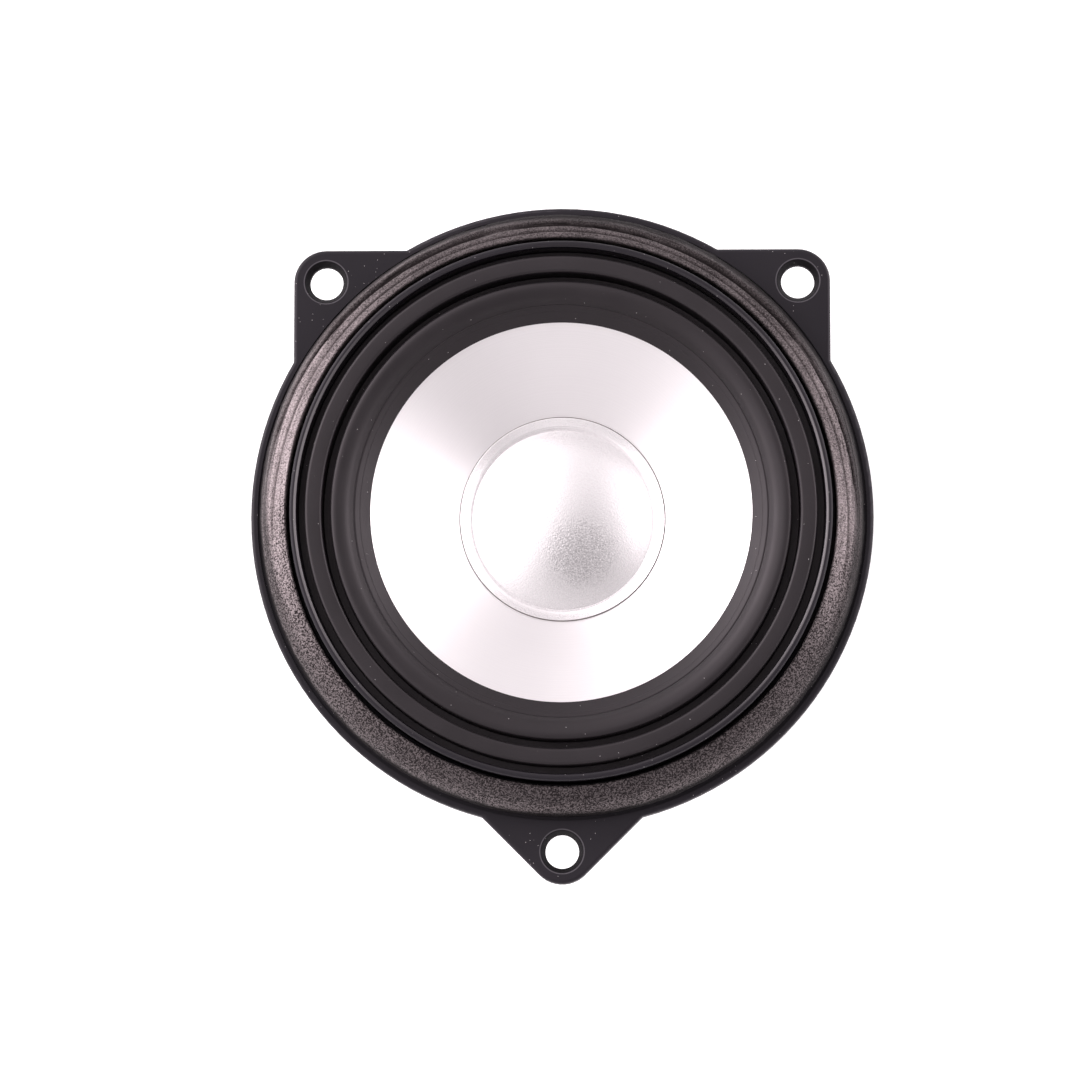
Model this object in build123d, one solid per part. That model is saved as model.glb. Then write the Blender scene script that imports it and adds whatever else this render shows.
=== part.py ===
"""Four inch class car speaker driver with a three-ear basket.

Millimetres. The origin is on the speaker's axis, at the rear face of the flange, where the
driver bears on its panel. +Z points out of the front, and +Y towards the two square ears.
"""

from build123d import *
from math import cos, radians, sin, sqrt, tan
import os

# Flange and ears
flange_radius = 51.0
flange_thickness = 3.0
ear_circle_radius = 54.9
ear_hole_radius = 2.75
ear_chamfer_radius = 3.45
ear_chamfer_depth = 1.5
ear_chamfer_round = 0.35
ear_corner_radius = 5.3
point_ear_side = 30.0
edge_round = 0.6

# Front collar, which holds the surround
seat_height = 7.4
collar_inner_radius = 40.8
lip_inner_radius = 42.85
lip_outer_radius = 44.0
lip_height = 12.6
lip_round = 0.45

# Foam gasket in its recess
gasket_inner_radius = 44.7
gasket_outer_radius = 49.3
gasket_recess_depth = 0.6
gasket_recess_gap = 0.6
gasket_height = 11.2
gasket_shoulder_height = 6.2
gasket_top_width = 1.6
gasket_bulge = 0.9

# Cone
cone_angle = 36.3
cone_visible_radius = 31.1
cone_visible_height = 8.5
cone_edge_radius = 34.3
cone_thickness = 0.4
cone_neck_length = 1.4

# Dust cap
cap_outer_radius = 16.8
cap_dome_radius = 15.0
cap_dome_rise = 3.6
cap_thickness = 0.3
cap_foot_width = 0.4

# Surround: two rubber folds between the cone and the collar
surround_thickness = 0.5
roll_start_radius = 33.9
roll_crest_radius = 35.7
roll_outer_radius = 37.4
roll_height = 12.6
roll_shoulder_drop = 0.2
groove_height = 7.6
ridge_inner_radius = 38.75
ridge_outer_radius = 41.4
ridge_height = 12.8
surround_edge_gap = 0.15
fold_round = 0.45

# Voice coil
former_inner_radius = 12.7
former_thickness = 0.2
former_above_neck = 0.9
former_tail = 0.8
winding_thickness = 0.55
winding_length = 9.0
wrap_thickness = 0.15
wrap_gap = 0.5
lead_pad_width = 2.4
lead_pad_height = 1.4
lead_pad_thickness = 0.35
lead_pad_gap = 0.4
lead_pad_angle = 62.0

# Spider
spider_thickness = 0.4
spider_outer_radius = 28.4
spider_flange_width = 2.6
spider_neck_length = 1.5
spider_neck_gap = 0.4
spider_wave_pitch = 2.6
spider_wave_height = 1.5
spider_wave_margin = 0.8
spider_fold_round = 0.5

# Motor
coil_gap = 0.4
top_plate_radius = 27.5
top_plate_thickness = 4.0
top_plate_front = -17.0
magnet_radius = 30.0
magnet_bore_radius = 16.5
magnet_thickness = 8.5
back_plate_radius = 28.0
back_plate_thickness = 4.0
pole_spigot_radius = 8.0
plate_chamfer = 0.6

# Basket behind the flange
base_thickness = 2.5
base_bore_radius = 19.0
ledge_margin = 0.8
bowl_wall = 2.8
leg_count = 6
leg_width = 9.0
window_top = -1.8
window_ledge_gap = 0.8
window_corner = 1.6
rib_thickness = 1.6
rib_top_height = 4.0
rib_base_depth = 3.2
rib_base_rise = 0.4

# Screws, basket to top plate
screw_count = 4
screw_radius = 1.5
screw_head_radius = 2.6
screw_head_height = 1.5
screw_bite = 3.0
screw_clearance = 0.25
screw_circle_radius = 22.6
screw_slot_width = 0.8
screw_slot_depth = 0.8
screw_slot_share = 1.3

# Terminal
block_half_width = 8.2
block_face = 40.6
block_thickness = 3.0
block_top = -5.0
block_height = 7.0
block_round = 0.6
terminal_pad_margin = 0.4
terminal_pad_rise = 1.4
blade_thickness = 0.8
blade_offset = 5.0
blade_reach = 7.4
blade_tip_chamfer = 0.6
blade_hole_radius = 0.6
positive_blade_width = 4.8
negative_blade_width = 2.8
lug_width = 2.0
lug_height = 2.0
terminal_screw_radius = 1.25
terminal_screw_head_radius = 2.1
terminal_screw_head_height = 1.2
terminal_screw_length = 6.0

# Tinsel leads
lead_radius = 0.55
lead_pad_clearance = 0.03
lead_lug_side_run = 5.0
lead_turn_out = 8.6
lead_turn_in = 8.5
lead_turn_drop = 0.4
lead_approach = 11.0
lead_approach_out = 1.5
lead_approach_back = 1.0
lead_approach_rise = 2.0
lead_bend_share = 0.45

through = 1.0


def cone_front(radius):
    """Height of the cone's front face at a radius."""
    return cone_visible_height - (cone_visible_radius - radius) * tan(radians(cone_angle))


def above_cone(radius, distance):
    """Height of a point at a radius, standing off the cone's front face by a distance."""
    return cone_front(radius) + distance / cos(radians(cone_angle))


def turned(points):
    """A ring or disc: a closed outline of (radius, height) points, turned about Z."""
    return revolve(make_face(Plane.XZ * Polyline(*points, close=True)), Axis.Z)


def turned_strip(points, width, corner):
    """A thin ring of even thickness about a path of (radius, height) points with round corners."""
    path = FilletPolyline(*points, radius=corner)
    return revolve(Plane.XZ * trace(path, line_width=width), Axis.Z)


def ring(outer, inner, low, high):
    """A plain ring or, with no inner radius, a disc between two heights."""
    outline = Circle(outer) - Circle(inner) if inner > 0 else Circle(outer)
    return Pos(0, 0, low) * extrude(outline, high - low)


def around(count, shape, start=0.0):
    """Copies of a shape, evenly spaced about Z."""
    return [Rot(0, 0, start + step * 360 / count) * shape for step in range(count)]


# Heights that follow from the driving sizes
coil_outer_radius = former_inner_radius + former_thickness
wrap_outer_radius = coil_outer_radius + wrap_thickness
winding_outer_radius = coil_outer_radius + winding_thickness
pad_outer_radius = wrap_outer_radius + lead_pad_thickness
neck_top = cone_front(coil_outer_radius)
neck_bottom = neck_top - cone_neck_length
lead_pad_top = neck_bottom - lead_pad_gap
lead_pad_bottom = lead_pad_top - lead_pad_height
spider_neck_top = lead_pad_bottom - spider_neck_gap
spider_height = spider_neck_top - spider_neck_length - spider_thickness / 2
ledge_height = spider_height - spider_thickness / 2
base_top = top_plate_front + base_thickness
ledge_radius = spider_outer_radius - spider_flange_width
base_radius = spider_outer_radius + ledge_margin
top_plate_back = top_plate_front - top_plate_thickness
magnet_back = top_plate_back - magnet_thickness
back_face = magnet_back - back_plate_thickness
winding_top = (top_plate_front + top_plate_back + winding_length) / 2
winding_bottom = winding_top - winding_length
pole_radius = former_inner_radius - coil_gap
gasket_floor = flange_thickness - gasket_recess_depth
ear_offset = ear_circle_radius * cos(radians(45))
lug_side = blade_offset + lug_width / 2
blade_plane = block_face + block_thickness / 2


def bowl_outer_radius(height):
    """Outside radius of the bowl behind the flange."""
    share = (height - base_top) / (0 - base_top)
    return base_radius + share * (lip_outer_radius - base_radius)


def bowl_inner_radius(height):
    """Inside radius of the bowl, one wall in from the outside."""
    return bowl_outer_radius(height) - bowl_wall


def flange_outline():
    """A round flange with two square ears at +Y and one pointed ear at -Y."""
    corner = ear_offset + ear_corner_radius
    square_ears = Pos(0, corner / 2) * RectangleRounded(2 * corner, corner, ear_corner_radius)
    reach = (point_ear_side / 2 - ear_corner_radius) / cos(radians(45))
    square = RectangleRounded(point_ear_side, point_ear_side, ear_corner_radius)
    point = Rot(0, 0, 45) * square
    return Circle(flange_radius) + square_ears + Pos(0, reach - ear_circle_radius) * point


def flange():
    """The flange plate with its outer front edge rounded."""
    plate = extrude(flange_outline(), flange_thickness)
    rim = plate.faces().sort_by(Axis.Z)[-1].outer_wire().edges()
    return fillet(rim, edge_round)


def ear_holes():
    """The three countersunk fixing holes."""
    deep = flange_thickness + through
    drill = Pos(0, 0, -through) * extrude(Circle(ear_hole_radius), deep + through)
    slope = (ear_chamfer_radius - ear_hole_radius) / ear_chamfer_depth
    low = flange_thickness - ear_chamfer_depth
    sink = turned([
        (0, low),
        (ear_hole_radius, low),
        (ear_chamfer_radius + slope * through, deep),
        (0, deep),
    ])
    places = [(-ear_offset, ear_offset), (ear_offset, ear_offset), (0, -ear_circle_radius)]
    return [Pos(x, y) * (drill + sink) for x, y in places]


def bowl_body():
    """The outside of the basket as a solid: collar, bowl and base."""
    return turned([
        (0, top_plate_front),
        (base_radius, top_plate_front),
        (base_radius, base_top),
        (lip_outer_radius, 0),
        (lip_outer_radius, lip_height),
        (0, lip_height),
    ])


def bowl_hollow():
    """The inside of the basket: base bore, spider ledge, bowl and surround seat."""
    return turned([
        (0, top_plate_front - through),
        (base_bore_radius, top_plate_front - through),
        (base_bore_radius, base_top),
        (ledge_radius, base_top),
        (ledge_radius, ledge_height),
        (bowl_inner_radius(ledge_height), ledge_height),
        (collar_inner_radius, 0),
        (collar_inner_radius, seat_height),
        (lip_inner_radius, seat_height),
        (lip_inner_radius, lip_height + through),
        (0, lip_height + through),
    ])


def windows():
    """Openings between the legs, with round corners."""
    low = ledge_height + window_ledge_gap
    tall = window_top - low
    band = ring(flange_radius, ledge_radius, low, window_top)
    spoke = Pos(flange_radius / 2, 0, low + tall / 2) * Box(flange_radius, leg_width, 2 * tall)
    for leg in around(leg_count, spoke, 180 / leg_count):
        band -= leg
    sides = [e for e in band.edges() if e.geom_type == GeomType.LINE and abs((e % 0.5).Z) < 0.01]
    return fillet(sides, window_corner)


def leg_ribs():
    """One upright rib outside each leg."""
    outline = [
        (bowl_inner_radius(base_top), base_top + through),
        (base_radius, top_plate_front + rib_base_rise),
        (base_radius + rib_base_depth, top_plate_front + rib_base_rise),
        (lip_outer_radius, -rib_top_height),
        (lip_outer_radius, 0),
        (bowl_inner_radius(-through), 0),
    ]
    plate = make_face(Plane.XZ * Polyline(*outline, close=True))
    rib = extrude(plate, rib_thickness / 2, both=True)
    return around(leg_count, rib, 180 / leg_count)


def terminal_pad():
    """Flat pad on the +Y leg, for the terminal block."""
    high = block_top + terminal_pad_rise
    low = block_top - block_height - terminal_pad_margin
    deep = block_face - ledge_radius
    middle = Pos(0, block_face - deep / 2, (high + low) / 2)
    return middle * Box(2 * block_half_width, deep, high - low)


def make_basket():
    """Moulded frame: everything that stands still except the motor."""
    body = bowl_body()
    for rib in leg_ribs():
        body += rib
    body = body - terminal_space() + terminal_pad() + flange()
    openings = windows() - terminal_pad()
    for piece in [bowl_hollow(), gasket_recess(), openings, *ear_holes(), *base_screw_holes()]:
        body -= piece
    body -= terminal_screw_hole()
    lip = body.edges().group_by(Axis.Z)[-1]
    body = fillet(lip, lip_round)
    mouths = [
        edge
        for edge in body.edges().filter_by(GeomType.CIRCLE)
        if abs(edge.radius - ear_chamfer_radius) < 0.01 and abs(edge.center().Z - flange_thickness) < 0.01
    ]
    return fillet(mouths, ear_chamfer_round)


def gasket_recess():
    """Shallow seat for the foam, cut down into the flange round the collar."""
    outer = gasket_outer_radius + gasket_recess_gap
    return ring(outer, lip_outer_radius, gasket_floor, flange_thickness + through)


def terminal_space():
    """Room outside the pad for the block, the lugs and the blades."""
    low = block_top - block_height - terminal_pad_margin
    high = block_top + lug_height + terminal_pad_margin
    wide = 2 * (block_half_width + terminal_pad_margin)
    deep = 2 * block_thickness
    return Pos(0, block_face + deep / 2, (high + low) / 2) * Box(wide, deep, high - low)


def base_screw_holes():
    """Clearance holes for the motor screws."""
    drill = ring(screw_radius + screw_clearance, 0, top_plate_front - through, base_top + through)
    return around(screw_count, Pos(screw_circle_radius, 0, 0) * drill, 180 / screw_count)


def terminal_screw_hole():
    """Pilot hole for the terminal block's screw."""
    return terminal_axis() * Cylinder(terminal_screw_radius, 2 * terminal_screw_length)


def terminal_axis():
    """Place and direction of the terminal screw: local Z points outwards, along +Y."""
    return Pos(0, block_face, block_top - block_height / 2) * Rot(-90, 0, 0)


def make_gasket():
    """Foam ring: flat base, upright outer wall, bulged shoulder and a narrow flat top."""
    shoulder = (gasket_outer_radius, gasket_shoulder_height)
    top = (gasket_inner_radius + gasket_top_width, gasket_height)
    mid = (
        (shoulder[0] + top[0]) / 2 + gasket_bulge * cos(radians(45)),
        (shoulder[1] + top[1]) / 2 + gasket_bulge * sin(radians(45)),
    )
    outline = [
        Line(top, (gasket_inner_radius, gasket_height)),
        Line((gasket_inner_radius, gasket_height), (gasket_inner_radius, gasket_floor)),
        Line((gasket_inner_radius, gasket_floor), (gasket_outer_radius, gasket_floor)),
        Line((gasket_outer_radius, gasket_floor), shoulder),
        ThreePointArc(shoulder, mid, top),
    ]
    return revolve(Plane.XZ * make_face(outline), Axis.Z)


def make_surround():
    """Rubber ring: glued on the cone, one round fold, a groove, a flat ridge and a glued edge."""
    half = surround_thickness / 2
    return turned_strip([
        (cone_visible_radius, above_cone(cone_visible_radius, half)),
        (roll_start_radius, above_cone(roll_start_radius, half)),
        (roll_crest_radius, roll_height - half),
        (roll_outer_radius - half, roll_height - roll_shoulder_drop - half),
        (roll_outer_radius - half, groove_height - half),
        (ridge_inner_radius + half, groove_height - half),
        (ridge_inner_radius + half, ridge_height - half),
        (ridge_outer_radius - half, ridge_height - half),
        (ridge_outer_radius - half, seat_height + half),
        (lip_inner_radius - surround_edge_gap, seat_height + half),
    ], surround_thickness, fold_round)


def make_cone():
    """Straight-sided metal cone with a short neck round the former."""
    drop = cone_thickness / cos(radians(cone_angle))
    neck_outer = coil_outer_radius + cone_thickness
    return turned([
        (coil_outer_radius, neck_bottom),
        (coil_outer_radius, neck_top),
        (cone_edge_radius, cone_front(cone_edge_radius)),
        (cone_edge_radius, cone_front(cone_edge_radius) - drop),
        (neck_outer, cone_front(neck_outer) - drop),
        (neck_outer, neck_bottom),
    ])


def make_dust_cap():
    """Domed cap whose sloping rim lies on the cone."""
    rim_lift = cap_thickness / cos(radians(cone_angle))
    crease = cone_front(cap_dome_radius) + rim_lift
    crown = crease + cap_dome_rise
    edge = cone_front(cap_outer_radius)
    foot = cap_dome_radius - cap_foot_width
    ball = (cap_dome_radius**2 + cap_dome_rise**2) / (2 * cap_dome_rise)
    centre = crown - ball
    middle = cap_dome_radius / 2
    inner_ball = ball - cap_thickness
    outside = [(radius, centre + sqrt(ball**2 - radius**2)) for radius in (0, middle, cap_dome_radius)]
    inside = [(radius, centre + sqrt(inner_ball**2 - radius**2)) for radius in (foot, middle, 0)]
    outline = [
        ThreePointArc(*outside),
        Line(outside[-1], (cap_outer_radius, edge + rim_lift)),
        Line((cap_outer_radius, edge + rim_lift), (cap_outer_radius, edge)),
        Line((cap_outer_radius, edge), (foot, cone_front(foot))),
        Line((foot, cone_front(foot)), inside[0]),
        ThreePointArc(*inside),
        Line(inside[-1], outside[0]),
    ]
    return revolve(Plane.XZ * make_face(outline), Axis.Z)


def make_former():
    """Thin tube that carries the winding."""
    return ring(coil_outer_radius, former_inner_radius, winding_bottom - former_tail,
                neck_top + former_above_neck)


def make_winding():
    """Copper winding, centred in the magnet gap."""
    return ring(winding_outer_radius, coil_outer_radius, winding_bottom, winding_top)


def make_wrap():
    """Paper collar round the former, between the winding and the cone's neck."""
    return ring(wrap_outer_radius, coil_outer_radius, winding_top + wrap_gap, neck_bottom)


def make_lead_pads():
    """Two solder pads on the wrap, where the leads end."""
    tall = ring(pad_outer_radius, wrap_outer_radius, lead_pad_bottom, lead_pad_top)
    slab = Pos(pad_outer_radius / 2, 0, lead_pad_bottom + lead_pad_height / 2) * Box(
        pad_outer_radius + through, lead_pad_width, 2 * lead_pad_height)
    return [tall & (Rot(0, 0, angle) * slab) for angle in (lead_pad_angle, 180 - lead_pad_angle)]


def make_spider():
    """Corrugated cloth disc from the former to the ledge."""
    half = spider_thickness / 2
    neck = wrap_outer_radius + half
    inner = neck + spider_flange_width / 2
    outer = ledge_radius - spider_wave_margin
    half_waves = 2 * max(1, round((outer - inner) / spider_wave_pitch))
    step = (outer - inner) / half_waves
    waves = [
        (inner + (turn + 0.5) * step, spider_height + (0.5 - turn % 2) * spider_wave_height)
        for turn in range(half_waves)
    ]
    path = [
        (neck, spider_neck_top),
        (neck, spider_height),
        *waves,
        (outer, spider_height),
        (spider_outer_radius, spider_height),
    ]
    return turned_strip(path, spider_thickness, spider_fold_round)


def make_top_plate():
    """Front pole plate with tapped holes."""
    bore = winding_outer_radius + coil_gap
    plate = turned(chamfered(top_plate_radius, bore, top_plate_back, top_plate_front))
    drill = ring(screw_radius, 0, top_plate_front - screw_bite, top_plate_front + through)
    for hole in around(screw_count, Pos(screw_circle_radius, 0, 0) * drill, 180 / screw_count):
        plate -= hole
    return plate


def chamfered(outer, inner, low, high):
    """Outline of a ring with both outer edges chamfered."""
    return [
        (inner, low),
        (outer - plate_chamfer, low),
        (outer, low + plate_chamfer),
        (outer, high - plate_chamfer),
        (outer - plate_chamfer, high),
        (inner, high),
    ]


def make_magnet():
    """Ferrite ring."""
    return turned(chamfered(magnet_radius, magnet_bore_radius, magnet_back, top_plate_back))


def make_pole():
    """Round pole with a spigot that is pressed into the back plate."""
    return turned([
        (0, back_face),
        (pole_spigot_radius, back_face),
        (pole_spigot_radius, magnet_back),
        (pole_radius, magnet_back),
        (pole_radius, top_plate_front - plate_chamfer),
        (pole_radius - plate_chamfer, top_plate_front),
        (0, top_plate_front),
    ])


def make_back_plate():
    """Rear pole plate, bored for the pole's spigot."""
    return turned(chamfered(back_plate_radius, pole_spigot_radius, back_face, magnet_back))


def screw(shank_radius, shank_length, head_radius, head_height):
    """Round-headed screw along Z with a cross slot, its head standing on the plane z = 0."""
    head = extrude(Circle(head_radius), head_height)
    head = fillet(head.edges().sort_by(Axis.Z)[-1], head_height / 2)
    slot = Box(screw_slot_share * head_radius, screw_slot_width, 2 * screw_slot_depth)
    bar = Pos(0, 0, head_height) * slot
    shank = Pos(0, 0, -shank_length) * extrude(Circle(shank_radius), shank_length)
    return head + shank - bar - Rot(0, 0, 90) * bar


def make_basket_screws():
    """The motor screws, standing on the basket's base."""
    one = screw(screw_radius, base_thickness + screw_bite, screw_head_radius, screw_head_height)
    return around(screw_count, Pos(screw_circle_radius, 0, base_top) * one, 180 / screw_count)


def make_terminal_screw():
    """Screw through the terminal block; its head is sunk into the block."""
    seat = Pos(0, 0, block_thickness - terminal_screw_head_height)
    length = terminal_screw_length - terminal_screw_head_height
    return terminal_axis() * seat * screw(
        terminal_screw_radius, length, terminal_screw_head_radius, terminal_screw_head_height)


def make_blade(width, side):
    """Flat terminal blade: a tab below the block and a narrow solder lug above it."""
    low = block_top - block_height - blade_reach
    tab = Pos(0, (low + block_top) / 2) * Rectangle(width, block_top - low)
    tab = chamfer(tab.vertices().group_by(Axis.Y)[0], blade_tip_chamfer)
    tab -= Pos(0, low + blade_reach / 2) * Circle(blade_hole_radius)
    lug = Pos(0, block_top + lug_height / 2) * Rectangle(lug_width, lug_height)
    flat = extrude(tab + lug, blade_thickness / 2, both=True)
    return Pos(side * blade_offset, blade_plane, 0) * Rot(90, 0, 0) * flat


def make_block(blades):
    """Terminal block with a slot for each blade and a counterbored screw hole."""
    middle = Pos(0, blade_plane, block_top - block_height / 2)
    body = middle * Box(2 * block_half_width, block_thickness, block_height)
    body = fillet(body.edges().filter_by(Axis.Y), block_round)
    for blade in blades:
        body -= blade
    body -= terminal_axis() * Cylinder(terminal_screw_radius, 3 * block_thickness)
    head = Cylinder(terminal_screw_head_radius, 2 * terminal_screw_head_height)
    return body - terminal_axis() * Pos(0, 0, block_thickness) * head


def lead_points():
    """Route of the +X tinsel lead, from its terminal lug to its pad on the former."""
    aim = (cos(radians(lead_pad_angle)), sin(radians(lead_pad_angle)))
    end = pad_outer_radius + lead_pad_clearance
    approach = end + lead_approach
    pad_middle = (lead_pad_top + lead_pad_bottom) / 2
    lug_middle = block_top + lug_height / 2
    return [
        (lug_side, blade_plane, lug_middle),
        (lug_side + lead_lug_side_run, blade_plane, lug_middle),
        (lug_side + lead_turn_out, blade_plane - lead_turn_in, lug_middle - lead_turn_drop),
        (
            approach * aim[0] + lead_approach_out,
            approach * aim[1] + lead_approach_back,
            pad_middle + lead_approach_rise,
        ),
        (end * aim[0], end * aim[1], pad_middle),
    ]


def make_lead():
    """Tinsel lead on the +X side, as a round tube along straight runs and tangent arcs."""
    points = [Vector(*p) for p in lead_points()]
    runs = [(b - a) for a, b in zip(points, points[1:])]
    turns = [a.get_angle(b) for a, b in zip(runs, runs[1:])]
    bends = [
        lead_bend_share * min(a.length, b.length) / tan(radians(turn) / 2)
        for a, b, turn in zip(runs, runs[1:], turns)
    ]
    print("lead bend radii", [round(bend, 1) for bend in bends])
    path = FilletPolyline(*points, radius=bends)
    start = Plane(origin=points[0], z_dir=runs[0])
    return sweep(start * Circle(lead_radius), path=path)


def main():
    """Builds every piece and writes one STEP file for each."""
    positive = make_blade(positive_blade_width, 1)
    negative = make_blade(negative_blade_width, -1)
    lead = make_lead()
    pieces = {
        "basket": make_basket(),
        "front_gasket": make_gasket(),
        "surround": make_surround(),
        "spider": make_spider(),
        "top_plate": make_top_plate(),
        "magnet_ring": make_magnet(),
        "pole_piece": make_pole(),
        "back_plate": make_back_plate(),
        "basket_screws": Compound(make_basket_screws()),
        "terminal_block": make_block([positive, negative]),
        "terminal_blade_positive": positive,
        "terminal_blade_negative": negative,
        "terminal_screw": make_terminal_screw(),
        "tinsel_lead_positive": lead,
        "tinsel_lead_negative": mirror(lead, Plane.YZ),
        "cone": make_cone(),
        "dust_cap": make_dust_cap(),
        "voice_coil_former": make_former(),
        "voice_coil_winding": make_winding(),
        "former_wrap": make_wrap(),
        "coil_lead_pads": Compound(make_lead_pads()),
    }
    os.makedirs("parts", exist_ok=True)
    for name, piece in pieces.items():
        export_step(piece, f"parts/{name}.step")


main()
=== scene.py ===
import bpy
import math
import numpy as np
from mathutils import Matrix, Vector


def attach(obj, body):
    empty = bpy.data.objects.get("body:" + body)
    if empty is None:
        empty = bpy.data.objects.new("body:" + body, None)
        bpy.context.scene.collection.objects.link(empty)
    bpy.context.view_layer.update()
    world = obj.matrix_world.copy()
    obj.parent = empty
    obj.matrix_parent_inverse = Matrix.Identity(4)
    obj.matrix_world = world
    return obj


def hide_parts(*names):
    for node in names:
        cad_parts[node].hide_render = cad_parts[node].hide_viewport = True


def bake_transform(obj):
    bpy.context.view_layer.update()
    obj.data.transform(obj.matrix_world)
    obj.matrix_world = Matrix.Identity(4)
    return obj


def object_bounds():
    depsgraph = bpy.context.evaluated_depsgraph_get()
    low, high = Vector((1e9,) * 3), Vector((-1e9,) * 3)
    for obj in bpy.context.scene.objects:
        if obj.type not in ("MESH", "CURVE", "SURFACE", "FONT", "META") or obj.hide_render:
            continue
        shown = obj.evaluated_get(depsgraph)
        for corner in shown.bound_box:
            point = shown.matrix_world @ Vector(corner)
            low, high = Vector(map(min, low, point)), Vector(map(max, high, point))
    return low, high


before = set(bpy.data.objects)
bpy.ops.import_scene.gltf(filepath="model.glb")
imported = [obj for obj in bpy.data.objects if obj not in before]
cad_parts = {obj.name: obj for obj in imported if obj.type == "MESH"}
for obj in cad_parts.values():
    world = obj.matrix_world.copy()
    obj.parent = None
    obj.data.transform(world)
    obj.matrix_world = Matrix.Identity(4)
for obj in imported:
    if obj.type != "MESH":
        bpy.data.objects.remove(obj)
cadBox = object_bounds()
mm = 0.001
print("frame loaded:", len(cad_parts), "nodes")

view = dict(
    distance=800.0,     # from the front of the flange, in mm
    tiltX=-6.23,        # degrees, the camera leans towards the pointed ear
    tiltY=-1.43,
    shiftX=3.58,        # mm, the speaker stands a little right of and above the middle
    shiftY=3.98,
    aimHeight=3.0,
    frameWidth=176.75,  # mm seen across at that distance
)


def makeCamera():
    aboutX = Matrix.Rotation(math.radians(view["tiltX"]), 3, "X")
    aboutY = Matrix.Rotation(math.radians(view["tiltY"]), 3, "Y")
    back = (aboutX @ aboutY).transposed()
    place = back @ Vector((-view["shiftX"], -view["shiftY"], view["distance"]))
    place.z += view["aimHeight"]
    data = bpy.data.cameras.new("camera")
    data.sensor_width = 36.0
    data.lens = data.sensor_width * view["distance"] / view["frameWidth"]
    data.clip_start = 0.01
    data.clip_end = 20.0
    camera = bpy.data.objects.new("camera", data)
    camera.matrix_world = Matrix.Translation(place * mm) @ back.to_4x4()
    bpy.context.scene.collection.objects.link(camera)
    bpy.context.scene.camera = camera


# each glow: direction it comes from, how tightly it is gathered, and its strength
glows = dict(
    right=((0.93, 0.22, 0.27), 10.0, 4.2),
    left=((-0.87, 0.31, 0.36), 6.0, 5.0),
    leftHigh=((-0.50, 0.15, 0.85), 6.0, 0.50),
    behind=((0.22, 0.90, 0.33), 3.5, 0.42),
    front=((0.05, -0.95, 0.30), 4.0, 0.52),
    lens=((0.11, -0.30, 0.93), 12.0, -0.33),
)
evenLight = 0.52
lightTint = (1.0, 0.935, 0.962, 1)


def makeStudio():
    # every glow is strength * exp(sharpness * (cosine of the angle to its direction - 1)), and the
    # glows are added to an even base
    world = bpy.data.worlds.new("studio")
    bpy.context.scene.world = world
    world.use_nodes = True
    tree = world.node_tree
    coords = tree.nodes.new("ShaderNodeTexCoord")
    total = evenLight
    for direction, sharpness, strength in glows.values():
        dot = tree.nodes.new("ShaderNodeVectorMath")
        dot.operation = "DOT_PRODUCT"
        tree.links.new(coords.outputs["Generated"], dot.inputs[0])
        dot.inputs[1].default_value = Vector(direction).normalized()
        power = calc(tree, "MULTIPLY", calc(tree, "SUBTRACT", dot.outputs["Value"], 1.0), sharpness)
        glow = calc(tree, "MULTIPLY", calc(tree, "EXPONENT", power), strength)
        total = calc(tree, "ADD", total, glow)
    tree.links.new(total, tree.nodes["Background"].inputs["Strength"])
    tree.nodes["Background"].inputs["Color"].default_value = lightTint
    bpy.context.scene.view_settings.view_transform = "Standard"


def newMaterial(name):
    made = bpy.data.materials.new(name)
    made.use_nodes = True
    tree = made.node_tree
    tree.nodes.clear()
    shader = tree.nodes.new("ShaderNodeBsdfPrincipled")
    output = tree.nodes.new("ShaderNodeOutputMaterial")
    tree.links.new(shader.outputs["BSDF"], output.inputs["Surface"])
    return made, tree, shader


def setAll(node, values):
    for key, value in values.items():
        node.inputs[key].default_value = value


def objectSpace(tree, scale=(1, 1, 1)):
    coords = tree.nodes.new("ShaderNodeTexCoord")
    mapping = tree.nodes.new("ShaderNodeMapping")
    mapping.inputs["Scale"].default_value = scale
    tree.links.new(coords.outputs["Object"], mapping.inputs["Vector"])
    return mapping.outputs["Vector"]


def noise(tree, perMetre, detail=4.0, roughness=0.6, stretch=(1, 1, 1), space=None):
    node = tree.nodes.new("ShaderNodeTexNoise")
    setAll(node, {"Scale": perMetre, "Detail": detail, "Roughness": roughness})
    tree.links.new(space or objectSpace(tree, stretch), node.inputs["Vector"])
    return node.outputs["Fac"]


def mapped(tree, source, low, high, toLow, toHigh, smooth=False):
    node = tree.nodes.new("ShaderNodeMapRange")
    node.interpolation_type = "SMOOTHSTEP" if smooth else "LINEAR"
    setAll(node, {"From Min": low, "From Max": high, "To Min": toLow, "To Max": toHigh})
    tree.links.new(source, node.inputs["Value"])
    return node.outputs["Result"]


def calc(tree, kind, a, b=None):
    node = tree.nodes.new("ShaderNodeMath")
    node.operation = kind
    for slot, value in enumerate((a, b)):
        if value is None:
            continue
        if isinstance(value, (int, float)):
            node.inputs[slot].default_value = value
        else:
            tree.links.new(value, node.inputs[slot])
    return node.outputs["Value"]


def mixed(tree, share, first, second):
    node = tree.nodes.new("ShaderNodeMix")
    node.data_type = "RGBA"
    sockets = {s.identifier: s for s in node.inputs}
    tree.links.new(share, sockets["Factor_Float"])
    for key, value in (("A_Color", first), ("B_Color", second)):
        if isinstance(value, tuple):
            sockets[key].default_value = (*value, 1)
        else:
            tree.links.new(value, sockets[key])
    return next(s for s in node.outputs if s.identifier == "Result_Color")


def bumped(tree, height, distance, strength=1.0, under=None):
    node = tree.nodes.new("ShaderNodeBump")
    setAll(node, {"Distance": distance, "Strength": strength})
    tree.links.new(height, node.inputs["Height"])
    if under:
        tree.links.new(under, node.inputs["Normal"])
    return node.outputs["Normal"]


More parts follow.
